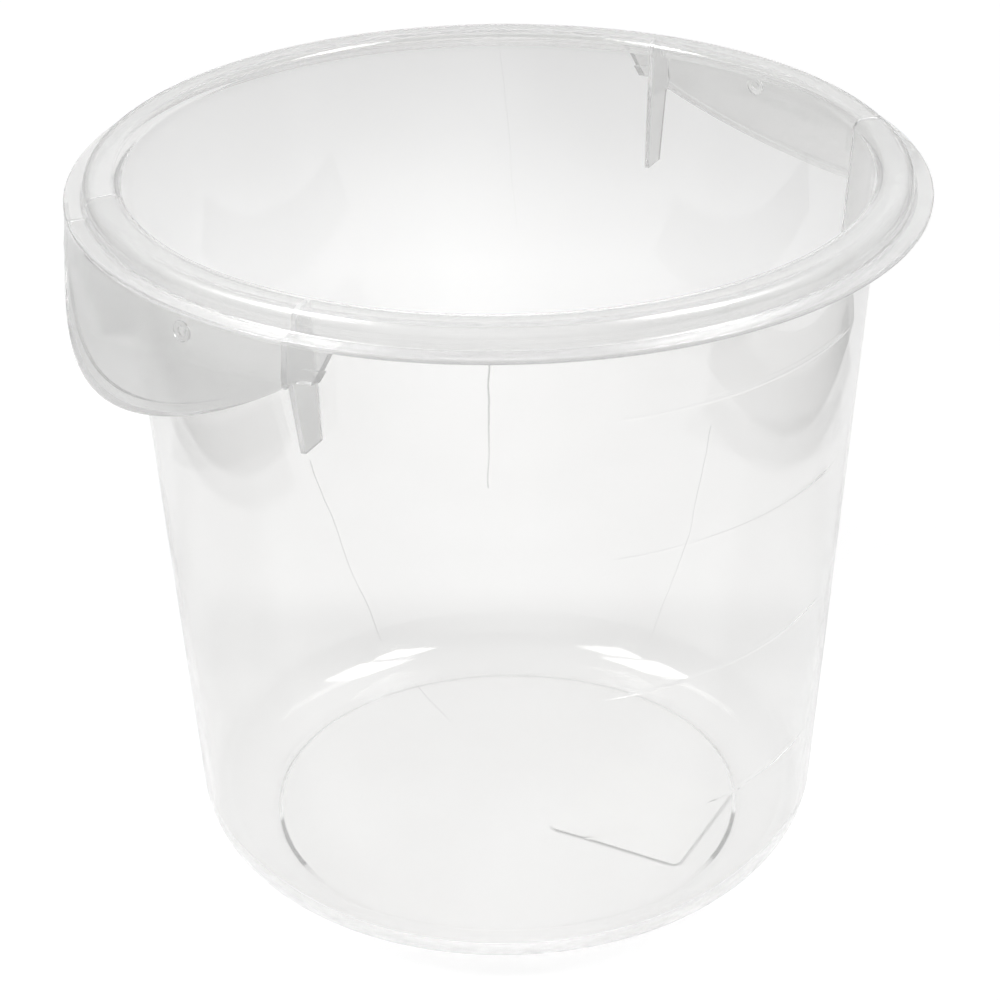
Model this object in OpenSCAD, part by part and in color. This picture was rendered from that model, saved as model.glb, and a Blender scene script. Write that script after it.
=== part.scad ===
/* [Tub] */
// Overall height, from the floor it stands on to the top of the rim
tub_h = 302; // [280:1:330]
// Outer radius of the wall, carried down to the floor
wall_foot_r = 130.3; // [124:0.1:136]
// Outer radius of the wall, carried up to the top of the rim
wall_top_r = 149; // [145:0.1:151]
// Thickness of the wall
wall_t = 2.4; // [1.8:0.1:3]

/* [Base] */
// Outer radius of the curve between floor and wall
corner_r = 28; // [18:1:34]
// Thickness of the floor
floor_t = 2.4; // [1.8:0.1:3]
// Depth of the recess under the floor
recess_depth = 1.6; // [1:0.1:2.4]
// Width of the flat ring that the tub stands on
foot_ring_w = 2.6; // [2:0.1:6]

/* [Rim] */
// Level width of the raised crown, which a lid clips over
crown_w = 15.1; // [12:0.1:18]
// Height of the crown above the flange
crown_h = 8.4; // [7:0.1:12]
// Rounding of the crown's outer top edge
crown_out_round = 5.2; // [3.2:0.1:5.4]
// Rounding of the crown's inner top edge
crown_in_round = 4.5; // [3.2:0.1:5]
// Fillet between the crown's outer face and the flange
crown_foot_round = 1.5; // [0.5:0.1:1.6]
// Thickness of the crown's skin
crown_t = 2.2; // [1.6:0.1:3]
// Width of the flange around the crown
flange_w = 7.4; // [4:0.1:10]
// Thickness of the flange
flange_t = 2; // [1.4:0.1:2.6]
// Rounding of the flange's upper edge
flange_round = 0.7; // [0.3:0.1:0.7]

/* [Grips] */
// Half of the angle that a grip takes up along the flange
grip_half_angle = 30.7; // [28:0.1:33]
// Depth of a grip's lip below the top of the rim
grip_drop = 49; // [42:1:58]
// Radius of the lip's half-moon edge, seen from the side
grip_edge_r = 123; // [115:1:140]
// How far the lip flares out past the flange at its deepest
grip_flare = 13.5; // [6:0.5:18]
// Thickness of the lip
lip_t = 2.2; // [1.6:0.1:2.8]
// Width of the thicker bead along the lip's edge
bead_w = 3.2; // [2:0.1:5]
// How much the bead stands in from the lip
bead_t = 1.2; // [0.6:0.1:2]
// Depth of the tab at each end of a grip, below the top of the rim
tab_drop = 23; // [18:1:28]
// How far a tab's end leans in over its depth
tab_lean = 5; // [2:0.5:8]
// Diameter of the round boss near the top of a grip
boss_d = 8; // [6:0.5:9]
// Diameter of the blind hole in the boss
boss_hole_d = 4; // [2:0.5:5]
// How far the boss stands in from the lip
boss_t = 0.8; // [0.4:0.1:1.2]
// Angle from a grip's middle to its boss
boss_angle = 9; // [4:0.5:16]
// Depth of the boss's middle below the top of the rim
boss_drop = 17; // [16:0.5:24]

/* [Ribs] */
// Angle from a grip's middle to each of its two ribs
rib_angle = 24.7; // [18:0.1:27]
// Thickness of a rib where it meets the wall
rib_t = 2; // [1.4:0.1:3]
// Depth of a rib's foot below the top of the rim
rib_drop = 57; // [52:1:80]
// Width of a rib at its foot
rib_foot_w = 12.4; // [8:0.1:16]
// Width of a rib where it meets the lip's edge
rib_neck_w = 16.8; // [12:0.1:18]

/* [Measure marks] */
// Height of the lowest mark
mark_low = 70; // [50:1:90]
// Height of the highest mark
mark_high = 256; // [230:1:262]
// Number of marks, at equal steps of volume
mark_count = 4; // [2:1:8]
// Half of the angle that a mark takes up
mark_half_angle = 23; // [12:1:30]
// Width of a mark's foot
mark_w = 1.4; // [1:0.1:2]
// Width of the slope at each side of a mark
mark_slope_w = 0.4; // [0.1:0.1:0.4]
// How far a mark stands out of the wall
mark_t = 0.3; // [0.2:0.1:1]

/* [Label] */
// Side of the square label under the floor
label_w = 61; // [40:1:66]
// Rounding of the label's corners
label_round = 3; // [1:0.5:8]
// Thickness of the label
label_t = 0.3; // [0.2:0.1:0.5]
// Clearance between the label's nearest corner and the foot ring
label_margin = 0.4; // [0.2:0.1:4]
// Direction of the label's middle
label_dir = -53; // [-180:1:180]
// Turn of the label about its own middle
label_turn = 23; // [-45:1:45]

/* [Hidden] */
$fn = 96;

// Slope of the wall, and its lean from upright
slope = (wall_top_r - wall_foot_r) / tub_h;
lean = atan(slope);
// Thickness of the wall measured level
level_t = wall_t / cos(lean);
// Height of the floor inside the tub
floor_z = recess_depth + floor_t;
// Radius of the inside curve between floor and wall
inside_r = corner_r - wall_t;
// Height at which the corner gives way to the wall
base_h = corner_r + 8;
// Underside of the flange, where wall and grips meet the rim
band_z = tub_h - crown_h - flange_t;
// Outer and inner radius of the rim's inner leg
leg_out_r = wall_r(band_z);
leg_in_r = leg_out_r - level_t;
// Outer radius of the crown, and of the flange around it
crown_r = leg_in_r + crown_w;
flange_r = crown_r + flange_w;
// Inner radius of the crown's outer leg
channel_r = crown_r - crown_t;
// Top of the flange
ledge_z = band_z + flange_t;
// Radius of the recess under the floor
recess_r = corner_x(wall_foot_r, 0, corner_r) - foot_ring_w;
// Radius of the flat floor, up to the foot ring
plate_r = recess_r - recess_depth;
// Lowest point of a grip's lip, and the radius of its flare seen in section
lip_low = tub_h - grip_drop;
lip_run = band_z - lip_low;
flare_r = (lip_run * lip_run + grip_flare * grip_flare) / (2 * grip_flare);
// Half width of a grip, and the height of its tabs' lower edge
tip_y = flange_r * sin(grip_half_angle);
tab_z = tub_h - tab_drop;
// Angle that a rib's thickness takes up at the wall
rib_span = 2 * asin(rib_t / 2 / leg_out_r);
// Foot of a rib, and where its free edge leaves the lip
rib_low = tub_h - rib_drop;
rib_join_z = lip_edge_z(flange_r * sin(rib_angle));
// Colours of the semi-clear moulding and of the label
clear_grey = [0.90, 0.91, 0.915, 0.55];
label_white = [0.97, 0.97, 0.96];
// Skew between the label's nearest diagonal and the direction of its middle
label_skew = abs(((label_turn - label_dir) % 90 + 90) % 90 - 45);
// Distance from the label's middle to the centre of a rounded corner, and from the axis to its middle
label_diagonal = (label_w / 2 - label_round) * sqrt(2);
label_reach = sqrt(pow(plate_r - label_margin - label_round, 2) - pow(label_diagonal * sin(label_skew), 2))
    - label_diagonal * cos(label_skew);
// Spare length of a cut past the face that it opens
spare = 1;

// Outer radius of the wall at a height
function wall_r(z) = wall_foot_r + slope * z;

// Radius at which a curve of a given radius, resting at height z, is centred
// so that it runs smoothly into a wall that starts from radius r
function corner_x(r, z, rad) = r + slope * (z + rad) - rad / cos(lean);

// Height of the lip's edge at a distance from the grip's middle
function lip_edge_z(y) = lip_low + grip_edge_r - sqrt(grip_edge_r * grip_edge_r - y * y);

// Height of a mark, so that each step between marks holds the same volume
function mark_z(i) =
    let (low = pow(wall_r(mark_low), 3), high = pow(wall_r(mark_high), 3))
    (pow(low + (high - low) * i / (mark_count - 1), 1 / 3) - wall_foot_r) / slope;

// Half section of a solid tub with a flat floor at z, a curved corner and a sloping wall
module tub_outline(r, z, rad) {
    x = corner_x(r, z, rad);
    turn_z = z + rad * (1 - sin(lean));
    polygon([[0, z], [x, z], [x, z + rad], [r + slope * turn_z, turn_z],
             [r + slope * (tub_h + spare), tub_h + spare], [0, tub_h + spare]]);
    translate([x, z + rad]) circle(rad);
}

// Half section of the tub's skin, from the floor to above the rim
module tub_skin() {
    difference() {
        tub_outline(wall_foot_r, 0, corner_r);
        tub_outline(wall_foot_r - level_t, floor_z, inside_r);
    }
}

// Curved corner between floor and wall, with the foot ring that the tub stands on
module tub_corner() {
    color(clear_grey) rotate_extrude() difference() {
        intersection() {
            tub_skin();
            translate([plate_r, 0]) square([wall_top_r - plate_r, base_h]);
        }
        polygon([[plate_r - spare, -spare], [recess_r, -spare], [recess_r, 0],
                 [plate_r, recess_depth], [plate_r - spare, recess_depth]]);
    }
}

// Flat floor over the recess, inside the foot ring
module tub_floor() {
    color(clear_grey) translate([0, 0, recess_depth]) cylinder(r = plate_r, h = floor_t);
}

// Tapered wall between the base and the rim
module tub_wall() {
    color(clear_grey) rotate_extrude()
        polygon([[wall_r(base_h) - level_t, base_h], [wall_r(base_h), base_h],
                 [leg_out_r, band_z], [leg_in_r, band_z]]);
}

// Upright bar between two radii and two heights, with a rounding on each of its top edges
module rounded_bar(in_r, out_r, low_z, top_z, in_round, out_round) {
    in_x = in_r + in_round;
    out_x = out_r - out_round;
    translate([in_r, low_z]) square([out_x - in_r, top_z - in_round - low_z]);
    translate([in_x, low_z]) square([out_r - in_x, top_z - out_round - low_z]);
    translate([in_x, low_z]) square([out_x - in_x, top_z - low_z]);
    translate([in_x, top_z - in_round]) circle(in_round);
    translate([out_x, top_z - out_round]) circle(out_round);
}

// Channel under the crown, from a height up
module channel_bar(low_z) {
    rounded_bar(leg_out_r, channel_r, low_z, tub_h - crown_t,
                crown_in_round - crown_t, crown_out_round - crown_t);
}

// Flange with a rounded upper edge, and the fillet at the crown's foot
module flange_section() {
    edge_x = flange_r - flange_round;
    translate([channel_r, band_z]) square([edge_x - channel_r, flange_t]);
    translate([channel_r, band_z]) square([flange_r - channel_r, flange_t - flange_round]);
    translate([edge_x, ledge_z - flange_round]) circle(flange_round);
    difference() {
        translate([channel_r, band_z])
            square([crown_t + crown_foot_round, flange_t + crown_foot_round]);
        translate([crown_r + crown_foot_round, ledge_z + crown_foot_round]) circle(crown_foot_round);
    }
}

// Rim: an inner leg, a hollow crown and a flange
module rim() {
    color(clear_grey) rotate_extrude() {
        difference() {
            rounded_bar(leg_in_r, crown_r, band_z, tub_h, crown_in_round, crown_out_round);
            channel_bar(band_z - spare);
        }
        flange_section();
    }
}

// Disc whose edge is a lip's flare in section; a smaller one bounds its outside
module flare_disc(rad) {
    translate([flange_r + flare_r, band_z]) circle(rad);
}

// Section of a lip of a given thickness, from the flange down
module lip_section(t) {
    intersection() {
        difference() {
            flare_disc(flare_r + t);
            flare_disc(flare_r);
        }
        translate([flange_r - t - spare, lip_low - spare])
            square([grip_flare + t + 2 * spare, lip_run + spare]);
    }
}

// Outline of a grip seen from the side: a half moon with a tab at each end
module grip_outline() {
    intersection() {
        polygon([[-tip_y, band_z], [tip_y, band_z], [tip_y - tab_lean, tab_z],
                 [tip_y - tab_lean, lip_low], [tab_lean - tip_y, lip_low], [tab_lean - tip_y, tab_z]]);
        union() {
            translate([0, lip_low + grip_edge_r]) circle(grip_edge_r);
            translate([-tip_y, tab_z]) square([2 * tip_y, band_z - tab_z]);
        }
    }
}

// Part of a revolved section that lies within a grip's outline
module cut_grip() {
    reach = 2 * grip_half_angle + 8;
    intersection() {
        rotate([0, 0, -reach / 2]) rotate_extrude(angle = reach) children(0);
        rotate([90, 0, 90]) linear_extrude(flange_r + grip_flare + spare) children(1);
    }
}

// Round boss on the inside of a lip, with a blind hole
module boss() {
    rotate([0, 0, boss_angle]) translate([flange_r - lip_t - boss_t, 0, tub_h - boss_drop])
        rotate([0, 90, 0]) difference() {
            cylinder(d = boss_d, h = lip_t);
            translate([0, 0, -spare]) cylinder(d = boss_hole_d, h = lip_t + 2 * spare);
        }
}

// Grip on the +X side: a flared lip with a bead along its edge and a round boss
module grip() {
    cut_grip() {
        lip_section(lip_t);
        grip_outline();
    }
    cut_grip() {
        lip_section(lip_t + bead_t);
        difference() {
            grip_outline();
            translate([0, lip_low + grip_edge_r]) circle(grip_edge_r - bead_w);
            translate([-tip_y, lip_edge_z(tip_y - tab_lean)]) square([2 * tip_y, grip_drop]);
        }
    }
    boss();
}

// Section of a rib: in the crown's channel, behind the lip, and free below it
module rib_section() {
    channel_bar(band_z);
    difference() {
        polygon([[wall_r(rib_low), rib_low], [wall_r(rib_low) + rib_foot_w, rib_low],
                 [wall_r(rib_join_z) + rib_neck_w, rib_join_z], [flange_r, rib_join_z],
                 [flange_r, band_z], [leg_out_r, band_z]]);
        flare_disc(flare_r + lip_t);
    }
}

// The two ribs of the grip on the +X side
module grip_ribs() {
    for (side = [-1, 1])
        rotate([0, 0, side * rib_angle - rib_span / 2])
            rotate_extrude(angle = rib_span) rib_section();
}

// One raised line on the -Y side of the wall, with sloping sides
module mark_line(z) {
    low = z - mark_w / 2;
    high = z + mark_w / 2;
    rotate([0, 0, -90 - mark_half_angle]) rotate_extrude(angle = 2 * mark_half_angle)
        polygon([[wall_r(low), low], [wall_r(low) + mark_t, low + mark_slope_w],
                 [wall_r(high) + mark_t, high - mark_slope_w], [wall_r(high), high]]);
}

// Raised lines at equal steps of volume
module measure_marks() {
    color(clear_grey) for (i = [0 : mark_count - 1]) mark_line(mark_z(i));
}

// Thin square label in the recess under the floor
module base_label() {
    half = label_w / 2 - label_round;
    color(label_white)
        rotate([0, 0, label_dir]) translate([label_reach, 0, recess_depth - label_t])
        rotate([0, 0, label_turn - label_dir]) linear_extrude(label_t) {
            square([label_w, 2 * half], center = true);
            square([2 * half, label_w], center = true);
            for (x = [-half, half], y = [-half, half]) translate([x, y]) circle(label_round);
        }
}

module right_grip() { color(clear_grey) grip(); }
module left_grip() { color(clear_grey) rotate([0, 0, 180]) grip(); }
module right_grip_ribs() { color(clear_grey) grip_ribs(); }
module left_grip_ribs() { color(clear_grey) rotate([0, 0, 180]) grip_ribs(); }

tub_wall();
tub_corner();
tub_floor();
rim();
left_grip();
right_grip();
left_grip_ribs();
right_grip_ribs();
measure_marks();
base_label();
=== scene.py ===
import math

import bpy
from mathutils import Matrix, Vector


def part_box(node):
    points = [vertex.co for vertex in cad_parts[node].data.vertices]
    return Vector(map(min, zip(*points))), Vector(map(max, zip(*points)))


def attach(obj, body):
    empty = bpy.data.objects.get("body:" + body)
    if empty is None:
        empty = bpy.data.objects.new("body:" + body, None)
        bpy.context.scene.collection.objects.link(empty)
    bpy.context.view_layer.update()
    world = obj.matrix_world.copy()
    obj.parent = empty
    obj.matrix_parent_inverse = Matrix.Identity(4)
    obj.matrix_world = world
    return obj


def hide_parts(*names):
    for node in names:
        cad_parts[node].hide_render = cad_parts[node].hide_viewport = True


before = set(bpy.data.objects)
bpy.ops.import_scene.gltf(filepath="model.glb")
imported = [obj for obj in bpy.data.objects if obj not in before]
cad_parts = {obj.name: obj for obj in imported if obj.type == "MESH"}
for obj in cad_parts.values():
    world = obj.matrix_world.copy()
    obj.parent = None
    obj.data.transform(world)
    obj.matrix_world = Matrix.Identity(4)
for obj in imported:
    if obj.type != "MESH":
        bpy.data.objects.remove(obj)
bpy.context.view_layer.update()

scene = bpy.context.scene
scene.view_settings.view_transform = "Standard"


def nodeMaterial(name):
    material = bpy.data.materials.new(name)
    material.use_nodes = True
    material.node_tree.nodes.clear()
    return material, material.node_tree


def fill(tree, node, values):
    # a value is a number, a colour or the output that feeds the socket
    for socket, value in values:
        if hasattr(value, "is_linked"):
            tree.links.new(value, node.inputs[socket])
        else:
            node.inputs[socket].default_value = value


def addNode(tree, kind, *values, **settings):
    node = tree.nodes.new("ShaderNode" + kind)
    for key, value in settings.items():
        setattr(node, key, value)
    fill(tree, node, values)
    return node


def mathOf(tree, operation, *values):
    node = addNode(tree, "Math", operation=operation)
    fill(tree, node, list(enumerate(values)))
    return node.outputs[0]


def toneRamp(tree, value, tones):
    node = addNode(tree, "ValToRGB", (0, value))
    stops = node.color_ramp.elements
    while len(stops) < len(tones):
        stops.new(1.0)
    for stop, (place, tone) in zip(stops, tones):
        stop.position = place
        stop.color = (tone, tone, tone, 1.0)
    return node.outputs[0]


def along(tree, vector, direction):
    return addNode(tree, "VectorMath", (0, vector), (1, direction), operation="DOT_PRODUCT").outputs["Value"]


def multiplied(tree, first, second):
    node = addNode(tree, "Mix", (0, 1.0), (6, first), (7, second), data_type="RGBA", blend_type="MULTIPLY")
    return node.outputs[2]


# camera, solved from the ellipses of the rim, the mouth and the base
photoCamera = {
    "azimuth": -40.0,
    "elevation": 29.562,
    "roll": -0.11,
    "distance": 1.158,
    "aimAcross": 0.0233,
    "aimHeight": 0.1206,
    "lens": 98.94,
    "shiftX": -0.06,
    "shiftY": 0.06,
}


def addCamera(c):
    turn, lift, roll = (math.radians(c[key]) for key in ("azimuth", "elevation", "roll"))
    back = Vector((math.sin(turn) * math.cos(lift), -math.cos(turn) * math.cos(lift), math.sin(lift)))
    level = Vector((math.cos(turn), math.sin(turn), 0.0))
    upright = back.cross(level)
    right = level * math.cos(roll) + upright * math.sin(roll)
    up = upright * math.cos(roll) - level * math.sin(roll)
    data = bpy.data.cameras.new("photoCamera")
    data.lens = c["lens"]
    data.shift_x = c["shiftX"]
    data.shift_y = c["shiftY"]
    camera = bpy.data.objects.new("photoCamera", data)
    scene.collection.objects.link(camera)
    aim = level * c["aimAcross"] + Vector((0.0, 0.0, c["aimHeight"]))
    place = aim + back * c["distance"]
    camera.matrix_world = Matrix((
        (right.x, up.x, back.x, place.x),
        (right.y, up.y, back.y, place.y),
        (right.z, up.z, back.z, place.z),
        (0.0, 0.0, 0.0, 1.0),
    ))
    scene.camera = camera


addCamera(photoCamera)
print("camera set")

# studio: a sheet of white paper under the tub, darker beyond its sides, and soft boxes overhead. For rays off and
# through the plastic the paper carries painted light with a painted shadow under the tub, and its darker surround is
# painted shade
studio = {
    "across": (0.766, -0.643, 0.0),
    "depth": (0.643, 0.766, 0.0),
    "worldLight": 0.45,
    "skyTones": [(0.0, 0.60), (0.30, 0.66), (0.70, 0.80), (1.0, 0.90)],
    "skySides": [(0.30, 1.0), (0.85, 0.55)],
    "skyDepth": [(0.0, 0.9), (0.09, 0.9), (0.13, 0.25), (0.24, 0.25), (0.45, 1.0)],
    "floorSize": 8.0,
    "floorColour": (0.90, 0.90, 0.90, 1.0),
    # painted shade: the floor beyond the paper's sides, dark only for rays off and through the plastic
    "floorPaintedShade": (0.12, 0.12, 0.12, 1.0),
    "floorWhite": [(0.2, 0.20), (1.0, 0.50)],
    "floorSpread": 1.2,
    # painted light and shadow on the paper for rays off and through the plastic: bright in front, a painted shadow
    # under and just behind the tub, lit again further back
    "paperPaintedLightAndShadow": [
        (0.0, 0.42), (0.435, 0.42), (0.452, 0.05), (0.54, 0.05), (0.548, 0.0), (0.564, 0.0),
        (0.58, 0.15), (0.62, 0.17), (0.67, 0.22), (0.75, 0.33), (0.80, 0.31), (1.0, 0.12),
    ],
    "paperHalf": 0.463,
    "paperOff": 0.012,
    "paperSkew": 0.10,
    "paperSoft": 0.006,
    # painted falloff of that light towards the paper's sides
    "paperPaintedFalloff": 0.6,
    "sideEnds": (-0.285, 0.40),
    "sideSkew": 0.06,
    "sideReach": 0.60,
    "lamps": [
        ("leftSoftBox", (-0.60, 0.25, 1.15), (0.30, 0.50), 6.0),
        ("rightSoftBox", (0.35, -0.55, 1.15), (0.28, 0.50), 5.0),
    ],
    "lampAim": (0.0, 0.0, 0.15),
}


def addWorld(s):
    world = bpy.data.worlds.new("studioWorld")
    scene.world = world
    world.use_nodes = True
    tree = world.node_tree
    tree.nodes.clear()
    direction = addNode(tree, "TexCoord").outputs["Generated"]
    height = addNode(tree, "SeparateXYZ", (0, direction)).outputs["Z"]
    sides = mathOf(tree, "ABSOLUTE", along(tree, direction, s["across"]))
    ahead = mathOf(tree, "MULTIPLY_ADD", along(tree, direction, s["depth"]), 0.5, 0.5)
    sky = multiplied(tree, toneRamp(tree, height, s["skyTones"]), toneRamp(tree, sides, s["skySides"]))
    sky = multiplied(tree, sky, toneRamp(tree, ahead, s["skyDepth"]))
    lit = addNode(tree, "Background", ("Color", (1, 1, 1, 1)), ("Strength", s["worldLight"]))
    gloss = addNode(tree, "Background", ("Color", sky))
    white = addNode(tree, "Background", ("Color", (1, 1, 1, 1)))
    path = addNode(tree, "LightPath").outputs
    mirrored = mathOf(tree, "MAXIMUM", path["Is Glossy Ray"], path["Is Transmission Ray"])
    glossMix = addNode(tree, "MixShader", (0, mirrored), (1, lit.outputs[0]), (2, gloss.outputs[0]))
    cameraMix = addNode(tree, "MixShader", (0, path["Is Camera Ray"]), (1, glossMix.outputs[0]), (2, white.outputs[0]))
    addNode(tree, "OutputWorld", (0, cameraMix.outputs[0]))


def addFloor(s):
    bpy.ops.object.select_all(action="DESELECT")
    bpy.ops.mesh.primitive_plane_add(size=s["floorSize"], location=(0, 0, 0))
    floor = bpy.context.object
    floor.name = "studioFloor"
    material, tree = nodeMaterial("paleFloorPaintedGlow")
    place = addNode(tree, "TexCoord").outputs["Object"]
    reach = addNode(tree, "VectorMath", (0, place), operation="LENGTH").outputs["Value"]
    white = toneRamp(tree, mathOf(tree, "DIVIDE", reach, s["floorSpread"]), s["floorWhite"])
    depth = mathOf(tree, "DIVIDE", along(tree, place, s["depth"]), 2 * s["floorSpread"])
    # painted light and shadow on the paper, by depth
    paper = toneRamp(tree, mathOf(tree, "ADD", depth, 0.5), s["paperPaintedLightAndShadow"])
    # the sheet's edges lean a little with depth
    lean = mathOf(tree, "MULTIPLY_ADD", along(tree, place, s["depth"]), s["paperSkew"], -s["paperOff"])
    aside = mathOf(tree, "ABSOLUTE", mathOf(tree, "ADD", along(tree, place, s["across"]), lean))
    past = addNode(
        tree, "MapRange",
        ("Value", aside),
        ("From Min", s["paperHalf"] - s["paperSoft"]),
        ("From Max", s["paperHalf"] + s["paperSoft"]),
        interpolation_type="SMOOTHSTEP",
    ).outputs[0]
    # painted falloff of the paper's light towards its sides
    fade = mathOf(tree, "MULTIPLY_ADD", aside, -s["paperPaintedFalloff"] / s["paperHalf"], 1.0)
    fade = mathOf(tree, "MAXIMUM", fade, 1.0 - s["paperPaintedFalloff"])
    path = addNode(tree, "LightPath").outputs
    mirrored = mathOf(tree, "MAXIMUM", path["Is Glossy Ray"], path["Is Transmission Ray"])
    deep = mathOf(
        tree, "MULTIPLY_ADD", along(tree, place, s["across"]), s["sideSkew"], along(tree, place, s["depth"])
    )
    begins, ends = s["sideEnds"]
    between = mathOf(
        tree, "MULTIPLY", mathOf(tree, "GREATER_THAN", deep, begins), mathOf(tree, "LESS_THAN", deep, ends)
    )
    between = mathOf(tree, "MULTIPLY", between, mathOf(tree, "LESS_THAN", aside, s["sideReach"]))
    # the floor past the paper's sides is painted dark for rays off and through the plastic, as shade
    dark = mathOf(tree, "MULTIPLY", mathOf(tree, "MULTIPLY", mirrored, past), between)
    light = mathOf(tree, "SUBTRACT", 1.0, mathOf(tree, "MULTIPLY", past, between))
    inPaper = mathOf(tree, "MULTIPLY", light, mathOf(tree, "MULTIPLY", fade, mirrored))
    paintedPaperGlow = mathOf(tree, "MULTIPLY", inPaper, paper)
    colour = addNode(tree, "Mix", (0, dark), (6, s["floorColour"]), (7, s["floorPaintedShade"]), data_type="RGBA")
    diffuse = addNode(tree, "BsdfDiffuse", ("Color", colour.outputs[2]))
    # the camera sees an evenly white floor; rays off and through the plastic see the painted light and shadow on the
    # paper
    seen = mathOf(tree, "MULTIPLY_ADD", path["Is Camera Ray"], white, paintedPaperGlow)
    glow = addNode(tree, "Emission", ("Strength", seen))
    both = addNode(tree, "AddShader", (0, diffuse.outputs[0]), (1, glow.outputs[0]))
    addNode(tree, "OutputMaterial", (0, both.outputs[0]))
    floor.data.materials.append(material)


def addLamps(s):
    for name, place, size, power in s["lamps"]:
        data = bpy.data.lights.new(name, "AREA")
        data.shape = "RECTANGLE"
        data.size, data.size_y = size
        data.energy = power
        lamp = bpy.data.objects.new(name, data)
        scene.collection.objects.link(lamp)
        lamp.location = place
        aim = Vector(s["lampAim"]) - Vector(place)
        lamp.rotation_euler = aim.to_track_quat("-Z", "Y").to_euler()


addWorld(studio)
addFloor(studio)
addLamps(studio)
print("studio set")

# semi-clear natural plastic: faint clouds, a fine ripple, weld and flow lines, a few specks
wallPlastic = {
    "colour": (0.962, 0.96, 0.955, 1.0),
    "cloud": (0.985, 0.984, 0.98, 1.0),
    "roughness": 0.03,
    "through": 0.96,
    "coat": 0.0,
    "shadowThrough": 0.88,
}
floorPlastic = dict(wallPlastic, through=0.94)
rimPlastic = {
    "colour": (0.94, 0.94, 0.935, 1.0),
    "cloud": (0.97, 0.97, 0.965, 1.0),
    "roughness": 0.19,
    "through": 0.80,
    "coat": 0.6,
    "shadowThrough": 0.75,
}
# the grips are the wall's plastic with a darker colour, painted shade
gripPlasticPaintedShade = {
    "colour": (0.80, 0.80, 0.795, 1.0),
    "cloud": (0.84, 0.84, 0.835, 1.0),
    "roughness": 0.14,
    "through": 0.8,
    "coat": 0.3,
    "shadowThrough": 0.7,
}
plasticMarks = {
    "cloudScale": 9.0,
    "rippleScale": 38.0,
    "rippleHeight": 0.0002,
    "scatterDepth": 3.5,
    "speckScale": 24.0,
    "speckSize": 0.011,
    "speckTone": 0.5,
    "skin": (0.1295, 0.062),        # foot and slope of the face that carries the lines
    "wobble": 1.2,
    "wobbleScale": 45.0,
    "lines": [      # angle at the low end, low and high ends, turn for each metre up, width in degrees, darkness
        (-130.9, 0.232, 0.284, 12.0, 0.18, 0.60),
        (48.3, 0.211, 0.298, 32.0, 0.12, 0.12),
        (-148.1, 0.162, 0.183, -128.0, 0.15, 0.34),
        (-150.8, 0.183, 0.235, -127.0, 0.15, 0.38),
        (-137.6, 0.129, 0.146, -350.0, 0.15, 0.30),
        (-106.1, 0.159, 0.203, 134.0, 0.12, 0.24),
        (-100.2, 0.203, 0.246, 60.0, 0.12, 0.30),
        (-51.2, 0.294, 0.303, 0.0, 0.25, 0.15),
        (157.6, 0.290, 0.303, 0.0, 0.25, 0.15),
    ],
}


def plasticGroup(p):
    group = bpy.data.node_groups.new("plasticMarks", "ShaderNodeTree")
    for name in ("Colour", "Cloud"):
        group.interface.new_socket(name, in_out="INPUT", socket_type="NodeSocketColor")
    group.interface.new_socket("Colour", in_out="OUTPUT", socket_type="NodeSocketColor")
    group.interface.new_socket("Height", in_out="OUTPUT", socket_type="NodeSocketFloat")
    given = group.nodes.new("NodeGroupInput").outputs
    place = addNode(group, "TexCoord").outputs["Object"]
    clouds = addNode(group, "TexNoise", ("Vector", place), ("Scale", p["cloudScale"])).outputs[0]
    share = addNode(group, "MapRange", ("Value", clouds), ("From Min", 0.35), ("From Max", 0.65)).outputs[0]
    plain = addNode(group, "Mix", (0, share), (6, given["Colour"]), (7, given["Cloud"]), data_type="RGBA").outputs[2]
    axes = addNode(group, "SeparateXYZ", (0, place)).outputs
    sway = addNode(group, "TexNoise", ("Vector", place), ("Scale", p["wobbleScale"])).outputs[0]
    angle = mathOf(group, "DEGREES", mathOf(group, "ARCTAN2", axes["Y"], axes["X"]))
    angle = mathOf(group, "ADD", angle, mathOf(group, "MULTIPLY_ADD", sway, p["wobble"], -p["wobble"] / 2))
    radius = mathOf(group, "SQRT", mathOf(group, "MULTIPLY_ADD", axes["X"], axes["X"], mathOf(
        group, "MULTIPLY", axes["Y"], axes["Y"])))
    foot, slope = p["skin"]
    outer = mathOf(group, "GREATER_THAN", radius, mathOf(group, "MULTIPLY_ADD", axes["Z"], slope, foot))
    total = 0.0
    for start, low, high, turn, width, darkness in p["lines"]:
        rise = mathOf(group, "SUBTRACT", axes["Z"], low)
        middle = mathOf(group, "MULTIPLY_ADD", rise, turn, start)
        off = mathOf(group, "ABSOLUTE", mathOf(group, "SUBTRACT", angle, middle))
        near = addNode(group, "MapRange", ("Value", off), ("From Min", width), ("From Max", width / 3)).outputs[0]
        # darkest at the high end, fading downwards
        fade = addNode(
            group, "MapRange", ("Value", rise), ("From Max", high - low), ("To Min", darkness / 2), ("To Max", darkness)
        ).outputs[0]
        above = mathOf(group, "GREATER_THAN", rise, 0.0)
        below = mathOf(group, "LESS_THAN", rise, high - low)
        line = mathOf(group, "MULTIPLY", mathOf(group, "MULTIPLY", above, below), mathOf(group, "MULTIPLY", near, fade))
        total = mathOf(group, "MAXIMUM", line, total)
    cells = addNode(group, "TexVoronoi", ("Vector", place), ("Scale", p["speckScale"])).outputs["Distance"]
    specks = mathOf(group, "LESS_THAN", cells, p["speckSize"])
    dark = mathOf(group, "MAXIMUM", total, mathOf(group, "MULTIPLY", specks, p["speckTone"]))
    tone = mathOf(group, "MULTIPLY_ADD", mathOf(group, "MULTIPLY", dark, outer), -1.0, 1.0)
    marked = multiplied(group, plain, tone)
    ripple = addNode(group, "TexNoise", ("Vector", place), ("Scale", p["rippleScale"])).outputs[0]
    result = group.nodes.new("NodeGroupOutput")
    fill(group, result, [("Colour", marked), ("Height", ripple)])
    return group


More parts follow.
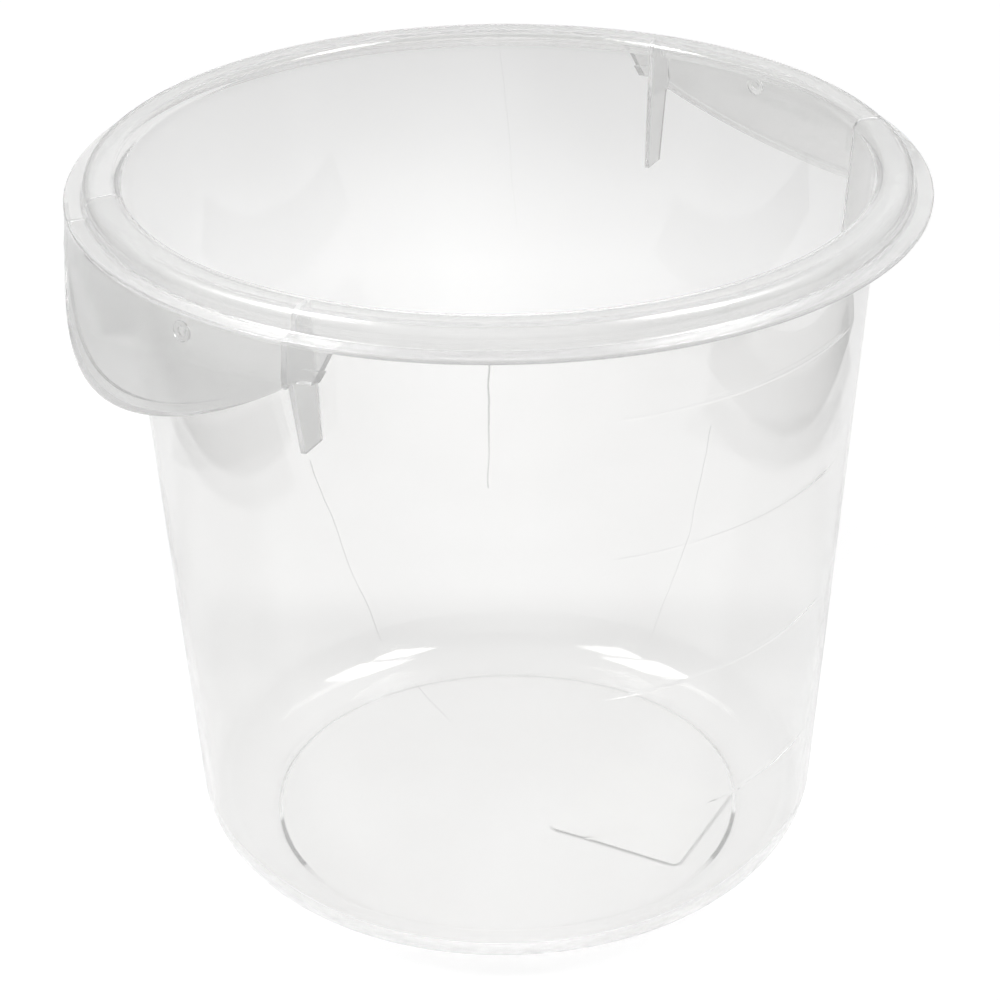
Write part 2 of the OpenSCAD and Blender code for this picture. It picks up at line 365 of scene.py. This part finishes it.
def clearMaterial(name, p, group):
    material, tree = nodeMaterial(name)
    marked = addNode(tree, "Group", node_tree=group)
    fill(tree, marked, [("Colour", p["colour"]), ("Cloud", p["cloud"])])
    bump = addNode(
        tree, "Bump", ("Strength", 0.15), ("Distance", plasticMarks["rippleHeight"]), ("Height", marked.outputs["Height"])
    )
    # lamps and diffuse light pass through, as they do through thin natural plastic
    path = addNode(tree, "LightPath").outputs
    unseen = mathOf(tree, "MAXIMUM", path["Is Shadow Ray"], path["Is Diffuse Ray"])
    # and a ray caught inside an edge runs straight out, as light scatters out of milky plastic
    caught = mathOf(tree, "GREATER_THAN", path["Ray Depth"], plasticMarks["scatterDepth"])
    open_ = mathOf(tree, "MAXIMUM", mathOf(tree, "MULTIPLY", unseen, p["shadowThrough"]), caught)
    solid = mathOf(tree, "SUBTRACT", 1.0, open_)
    shader = addNode(
        tree, "BsdfPrincipled",
        ("Base Color", marked.outputs["Colour"]),
        ("Normal", bump.outputs[0]),
        ("Roughness", p["roughness"]),
        ("IOR", 1.49),
        ("Transmission Weight", p["through"]),
        ("Coat Weight", p["coat"]),
        ("Coat Roughness", 0.1),
        ("Alpha", solid),
    )
    addNode(tree, "OutputMaterial", (0, shader.outputs[0]))
    return material


# the moulding: floor, wall, rim and marks spun in one, then joined with the grips
moulding = {
    "height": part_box("rim")[1].z,
    "wallFoot": 0.1303,
    "wallTop": 0.149,
    "wall": 0.0024,
    "corner": 0.028,
    "floor": 0.0024,
    "recess": 0.0016,
    "footRing": 0.0026,
    "labelClear": 0.00006,
    "crownWidth": 0.0151,
    "crownHeight": 0.0084,
    "crownSkin": 0.0022,
    "crownOutRound": 0.0052,
    "crownInRound": 0.0045,
    "crownFootRound": 0.0015,
    "flangeWidth": 0.0074,
    "flange": 0.002,
    "flangeRound": 0.0007,
    "underRound": 0.0003,
    "turns": 192,
}
marks = {"low": 0.070, "high": 0.256, "count": 4, "halfAngle": 23.0, "width": 0.0014, "slope": 0.0004, "stand": 0.0001, "ease": 0.0003}


def rimSizes(m):
    slope = (m["wallTop"] - m["wallFoot"]) / m["height"]
    band = m["height"] - m["crownHeight"] - m["flange"]
    legOut = m["wallFoot"] + slope * band
    legIn = legOut - m["wall"] / math.cos(math.atan(slope))
    crown = legIn + m["crownWidth"]
    return {
        "slope": slope,
        "band": band,
        "legOut": legOut,
        "legIn": legIn,
        "crown": crown,
        "channel": crown - m["crownSkin"],
        "flange": crown + m["flangeWidth"],
        "ledge": band + m["flange"],
    }


def arcPoints(centre, radius, start, end, count):
    points = []
    for i in range(count + 1):
        angle = math.radians(start + (end - start) * i / count)
        points.append((centre[0] + radius * math.cos(angle), centre[1] + radius * math.sin(angle)))
    return points


def markHeights(m, k, slope):
    low, high = ((m["wallFoot"] + slope * z) ** 3 for z in (k["low"], k["high"]))
    steps = k["count"] - 1
    return [((low + (high - low) * i / steps) ** (1 / 3) - m["wallFoot"]) / slope for i in range(k["count"])]


def mouldingSection(m, k):
    s = rimSizes(m)
    slope, top, ledge = s["slope"], m["height"], s["ledge"]
    lean = math.atan(slope)
    leanDeg = math.degrees(lean)

    def cornerCentre(r, z, radius):
        return (r + slope * (z + radius) - radius / math.cos(lean), z + radius)

    outCentre = cornerCentre(m["wallFoot"], 0.0, m["corner"])
    floorTop = m["recess"] + m["floor"]
    inRadius = m["corner"] - m["wall"]
    inCentre = cornerCentre(m["wallFoot"] - m["wall"] / math.cos(lean), floorTop, inRadius)
    recessEdge = outCentre[0] - m["footRing"]
    ceiling = m["recess"] + m["labelClear"]
    points = [(0.0, ceiling), (recessEdge - m["recess"], ceiling), (recessEdge, 0.0)]
    points += arcPoints(outCentre, m["corner"], -90, -leanDeg, 24)
    for z in markHeights(m, k, slope):
        low, high = z - k["width"] / 2, z + k["width"] / 2
        lowWall, highWall = (m["wallFoot"] + slope * level for level in (low, high))
        ease = k["ease"]
        points += [(lowWall - slope * ease, low - ease), (lowWall, low), (lowWall + k["stand"], low + k["slope"])]
        points += [(highWall + k["stand"], high - k["slope"]), (highWall, high), (highWall + slope * ease, high + ease)]
    points += [(s["legOut"], s["band"])]
    inTurn = m["crownInRound"] - m["crownSkin"]
    outTurn = m["crownOutRound"] - m["crownSkin"]
    under = top - m["crownSkin"]
    points += arcPoints((s["legOut"] + inTurn, under - inTurn), inTurn, 180, 90, 5)
    points += arcPoints((s["channel"] - outTurn, under - outTurn), outTurn, 90, 0, 6)
    points += [(s["channel"], s["band"])]
    soft, edge = m["underRound"], m["flangeRound"]
    points += arcPoints((s["flange"] - soft, s["band"] + soft), soft, -90, 0, 3)
    points += arcPoints((s["flange"] - edge, ledge - edge), edge, 0, 90, 5)
    foot = m["crownFootRound"]
    points += arcPoints((s["crown"] + foot, ledge + foot), foot, 270, 180, 5)
    points += arcPoints((s["crown"] - m["crownOutRound"], top - m["crownOutRound"]), m["crownOutRound"], 0, 90, 12)
    points += arcPoints((s["legIn"] + m["crownInRound"], top - m["crownInRound"]), m["crownInRound"], 90, 180, 10)
    points += [(s["legIn"], s["band"])]
    points += arcPoints(inCentre, inRadius, -leanDeg, -90, 24)
    points += [(0.0, floorTop)]
    return points


def drawChain(name, points):
    bpy.ops.object.select_all(action="DESELECT")
    bpy.ops.mesh.primitive_plane_add(size=0.01, location=(0, 0, 0))
    piece = bpy.context.object
    piece.name = name
    bpy.ops.object.mode_set(mode="EDIT")
    bpy.ops.mesh.select_mode(type="VERT")
    bpy.ops.mesh.select_all(action="SELECT")
    bpy.ops.mesh.merge(type="CENTER")
    bpy.ops.transform.translate(value=points[0])
    for start, end in zip(points, points[1:]):
        bpy.ops.mesh.extrude_region_move(TRANSFORM_OT_translate={"value": end - start})
    bpy.ops.mesh.select_all(action="SELECT")
    return piece


def finishMesh(merge):
    bpy.ops.mesh.select_all(action="SELECT")
    bpy.ops.mesh.remove_doubles(threshold=merge)
    bpy.ops.mesh.normals_make_consistent(inside=False)
    bpy.ops.object.mode_set(mode="OBJECT")


def spinMoulding(name, points, turns):
    piece = drawChain(name, [Vector((r, 0.0, z)) for r, z in points])
    bpy.ops.mesh.spin(steps=turns, angle=math.tau, center=(0, 0, 0), axis=(0, 0, 1))
    finishMesh(0.00001)
    return piece


def lowerMarks(piece, m, k):
    # the spun ridges stay on the -Y side only
    slope = rimSizes(m)["slope"]
    bpy.ops.object.mode_set(mode="EDIT")
    bpy.ops.mesh.select_mode(type="VERT")
    for z in markHeights(m, k, slope):
        for side in (-1, 1):
            level = z + side * (k["width"] / 2 - k["slope"])
            crest = m["wallFoot"] + slope * (z + side * k["width"] / 2) + k["stand"]
            bpy.ops.mesh.select_all(action="DESELECT")
            bpy.ops.object.mode_set(mode="OBJECT")
            for vertex in piece.data.vertices:
                x, y, height = vertex.co
                onRing = abs(height - level) < 0.00002 and abs(math.hypot(x, y) - crest) < 0.00005
                offFront = abs(math.degrees(math.atan2(x, -y))) > k["halfAngle"]
                vertex.select = onRing and offFront
            bpy.ops.object.mode_set(mode="EDIT")
            share = (m["wallFoot"] + slope * level) / crest
            bpy.ops.transform.resize(value=(share, share, 1.0), center_override=(0, 0, 0))
    bpy.ops.object.mode_set(mode="OBJECT")


def combine(piece, other, operation):
    bpy.ops.object.select_all(action="DESELECT")
    bpy.context.view_layer.objects.active = piece
    piece.select_set(True)
    step = piece.modifiers.new(other.name, "BOOLEAN")
    step.operation = operation
    step.solver = "MANIFOLD"
    step.object = other
    bpy.ops.object.modifier_apply(modifier=step.name)
    bpy.data.objects.remove(other)


def spunBlock(name, points, middle, span, steps):
    turn = math.radians(middle - span / 2)
    around = Vector((math.cos(turn), math.sin(turn), 0.0))
    piece = drawChain(name, [around * r + Vector((0.0, 0.0, z)) for r, z in points])
    bpy.ops.mesh.edge_face_add()
    bpy.ops.mesh.spin(steps=steps, angle=math.radians(-span), center=(0, 0, 0), axis=(0, 0, 1))
    finishMesh(0.000001)
    return piece


def sideBlock(name, points, near, far):
    piece = drawChain(name, [Vector((near, y, z)) for y, z in points])
    bpy.ops.mesh.edge_face_add()
    bpy.ops.mesh.extrude_region_move(TRANSFORM_OT_translate={"value": (far - near, 0, 0)})
    finishMesh(0.000001)
    return piece


def turnedCopy(piece, angle):
    copy = piece.copy()
    copy.data = piece.data.copy()
    scene.collection.objects.link(copy)
    bpy.ops.object.select_all(action="DESELECT")
    bpy.context.view_layer.objects.active = copy
    copy.select_set(True)
    copy.rotation_euler.z = math.radians(angle)
    bpy.ops.object.transform_apply(location=False, rotation=True, scale=False)
    return copy


shell = spinMoulding("tub_shell", [p for p in mouldingSection(moulding, marks)], moulding["turns"])
lowerMarks(shell, moulding, marks)
print("shell spun")

# a grip: a flared lip inside a half-moon outline, with a bead, end tabs, a round boss and two ribs
grip = {
    "halfAngle": 30.7,
    "drop": 0.049,
    "edgeRadius": 0.123,
    "flare": 0.0135,
    "lip": 0.0022,
    "inset": 0.00004,
    "bead": 0.0012,
    "beadWidth": 0.0032,
    "tabDrop": 0.023,
    "tabLean": 0.005,
    "overlap": 0.0008,
    "steps": 56,
    "ribAngle": 24.7,
    "ribThick": 0.002,
    "ribDrop": 0.057,
    "ribFoot": 0.0124,
    "ribNeck": 0.0168,
    "bossAngle": 9.0,
    "bossDrop": 0.017,
    "boss": 0.008,
    "bossHole": 0.004,
    "bossStand": 0.0008,
}


def lipArc(m, g, depth, low, count):
    s = rimSizes(m)
    run = s["band"] - (m["height"] - g["drop"])
    flare = (run * run + g["flare"] ** 2) / (2 * g["flare"])
    sweep = math.degrees(math.asin((s["band"] - low) / (flare + depth)))
    centre = (s["flange"] - g["inset"] + flare, s["band"])
    return arcPoints(centre, flare + depth, 180, 180 + sweep, count)


def edgeHeight(m, g, y, radius):
    return m["height"] - g["drop"] + g["edgeRadius"] - math.sqrt(radius * radius - y * y)


def addLip(m, g):
    s = rimSizes(m)
    lipLow, tab, top = m["height"] - g["drop"], m["height"] - g["tabDrop"], s["band"] + g["overlap"]
    halfWidth = s["flange"] * math.sin(math.radians(g["halfAngle"]))
    inside = halfWidth - g["tabLean"]
    span = 2 * g["halfAngle"] + 8
    thick = g["lip"] + g["bead"]
    outer = lipArc(m, g, 0.0, lipLow - 0.001, 12)
    inner = lipArc(m, g, thick, lipLow - 0.001, 12)
    points = [(inner[0][0], top), (outer[0][0], top)] + outer + inner[::-1]
    lip = spunBlock("grip", points, 0, span, g["steps"])

    def halfMoon(radius, height, count):
        reach = math.sqrt(radius ** 2 - (lipLow + g["edgeRadius"] - height) ** 2)
        sweep = math.degrees(math.asin(reach / radius))
        return arcPoints((0.0, lipLow + g["edgeRadius"]), radius, 270 - sweep, 270 + sweep, count)

    outline = halfMoon(g["edgeRadius"], tab, 48)
    outline += [(inside, tab), (halfWidth, s["band"]), (halfWidth, top + 0.001), (-halfWidth, top + 0.001)]
    outline += [(-halfWidth, s["band"]), (-inside, tab)]
    combine(lip, sideBlock("outline", outline, 0.1, 0.2), "INTERSECT")

    shoulder = edgeHeight(m, g, inside, g["edgeRadius"])
    outer = lipArc(m, g, g["lip"], lipLow - 0.003, 12)
    inner = lipArc(m, g, thick + 0.001, lipLow - 0.003, 12)
    points = [(inner[0][0], top + 0.001), (outer[0][0], top + 0.001)] + outer + inner[::-1]
    pocket = spunBlock("pocket", points, 0, span + 2, g["steps"])
    opening = halfMoon(g["edgeRadius"] - g["beadWidth"], shoulder, 48)
    wide = halfWidth + 0.01
    opening += [(wide, shoulder), (wide, top + 0.003), (-wide, top + 0.003), (-wide, shoulder)]
    combine(pocket, sideBlock("opening", opening, 0.1, 0.2), "INTERSECT")
    combine(lip, pocket, "DIFFERENCE")
    return lip


def addBoss(m, g):
    s = rimSizes(m)
    start = s["flange"] - g["lip"] - g["bossStand"]
    length = g["bossStand"] + g["lip"] / 2
    bpy.ops.object.select_all(action="DESELECT")
    bpy.ops.mesh.primitive_cylinder_add(
        vertices=32,
        radius=g["boss"] / 2,
        depth=length,
        location=(start + length / 2, 0, m["height"] - g["bossDrop"]),
        rotation=(0, math.radians(90), 0),
    )
    boss = bpy.context.object
    boss.name = "boss"
    bpy.ops.object.transform_apply(location=True, rotation=True, scale=False)
    bpy.ops.object.mode_set(mode="EDIT")
    bpy.ops.mesh.select_mode(type="FACE")
    bpy.ops.mesh.select_all(action="DESELECT")
    bpy.ops.object.mode_set(mode="OBJECT")
    for face in boss.data.polygons:
        face.select = face.normal.x < -0.9
    bpy.ops.object.mode_set(mode="EDIT")
    bpy.ops.mesh.inset(thickness=(g["boss"] - g["bossHole"]) / 2)
    bpy.ops.mesh.extrude_region_move(TRANSFORM_OT_translate={"value": (length * 0.8, 0, 0)})
    finishMesh(0.000001)
    boss.rotation_euler.z = math.radians(g["bossAngle"])
    bpy.ops.object.transform_apply(location=False, rotation=True, scale=False)
    return boss


def addRib(m, g, lap):
    s = rimSizes(m)
    wallAt = lambda z: m["wallFoot"] + s["slope"] * z
    foot = m["height"] - g["ribDrop"]
    neck = edgeHeight(m, g, s["flange"] * math.sin(math.radians(g["ribAngle"])), g["edgeRadius"])
    under = m["height"] - m["crownSkin"] + lap
    inTurn = m["crownInRound"] - m["crownSkin"] + lap
    outTurn = m["crownOutRound"] - m["crownSkin"] + lap
    points = [(wallAt(foot) - lap, foot), (wallAt(foot) + g["ribFoot"], foot), (wallAt(neck) + g["ribNeck"], neck)]
    points += lipArc(m, g, g["lip"] - lap, neck, 5)[::-1]
    points += [(points[-1][0], s["band"] + lap), (s["channel"] + lap, s["band"] + lap)]
    points += arcPoints((s["channel"] + lap - outTurn, under - outTurn), outTurn, 0, 90, 6)
    points += arcPoints((s["legOut"] - lap + inTurn, under - inTurn), inTurn, 90, 180, 6)
    points += [(s["legOut"] - lap, s["band"])]
    span = math.degrees(g["ribThick"] / s["legOut"])
    return spunBlock("rib", points, g["ribAngle"], span, 1)


rightGrip = addLip(moulding, grip)
combine(rightGrip, addBoss(moulding, grip), "UNION")
rib = addRib(moulding, grip, 0.0004)
otherRib = turnedCopy(rib, -2 * grip["ribAngle"])
combine(rightGrip, rib, "UNION")
combine(rightGrip, otherRib, "UNION")
leftGrip = turnedCopy(rightGrip, 180)
print("grips made")
combine(shell, rightGrip, "UNION")
combine(shell, leftGrip, "UNION")
bpy.ops.object.mode_set(mode="EDIT")
finishMesh(0.000001)
bpy.ops.object.shade_smooth_by_angle(angle=math.radians(32))
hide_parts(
    "tub_wall", "tub_corner", "tub_floor", "rim", "left_grip", "right_grip",
    "left_grip_ribs", "right_grip_ribs", "measure_marks",
)
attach(shell, "root")
shell.data.materials.clear()
marksGroup = plasticGroup(plasticMarks)
for name, look in (
    ("wallPlastic", wallPlastic), ("rimPlastic", rimPlastic), ("gripPlasticPaintedShade", gripPlasticPaintedShade), ("floorPlastic", floorPlastic)
):
    shell.data.materials.append(clearMaterial(name, look, marksGroup))
sizes = rimSizes(moulding)
for face in shell.data.polygons:
    x, y, z = face.center
    if z > sizes["band"] - 0.0005 and math.hypot(x, y) > sizes["legOut"] + 0.001:
        face.material_index = 1
    # grip faces, ribs and boss take the darker grip plastic, painted shade
    elif math.hypot(x, y) > moulding["wallFoot"] + sizes["slope"] * z + 0.0008:
        face.material_index = 2
    elif z < moulding["recess"] + moulding["floor"] + 0.0001 and math.hypot(x, y) < 0.1:
        face.material_index = 3
print("moulding joined")

# matt label under the floor
labelFilm = {"colour": (0.98, 0.98, 0.975, 1.0), "stain": (0.945, 0.945, 0.94, 1.0), "scale": 60.0}


def labelMaterial(p):
    material, tree = nodeMaterial("labelFilm")
    place = addNode(tree, "TexCoord").outputs["Object"]
    blots = addNode(tree, "TexNoise", ("Vector", place), ("Scale", p["scale"])).outputs[0]
    colour = addNode(tree, "Mix", (0, blots), (6, p["stain"]), (7, p["colour"]), data_type="RGBA").outputs[2]
    shader = addNode(tree, "BsdfPrincipled", ("Base Color", colour), ("Roughness", 0.7))
    addNode(tree, "OutputMaterial", (0, shader.outputs[0]))
    return material


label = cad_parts["base_label"]
label.data.materials.clear()
label.data.materials.append(labelMaterial(labelFilm))
print("materials set")
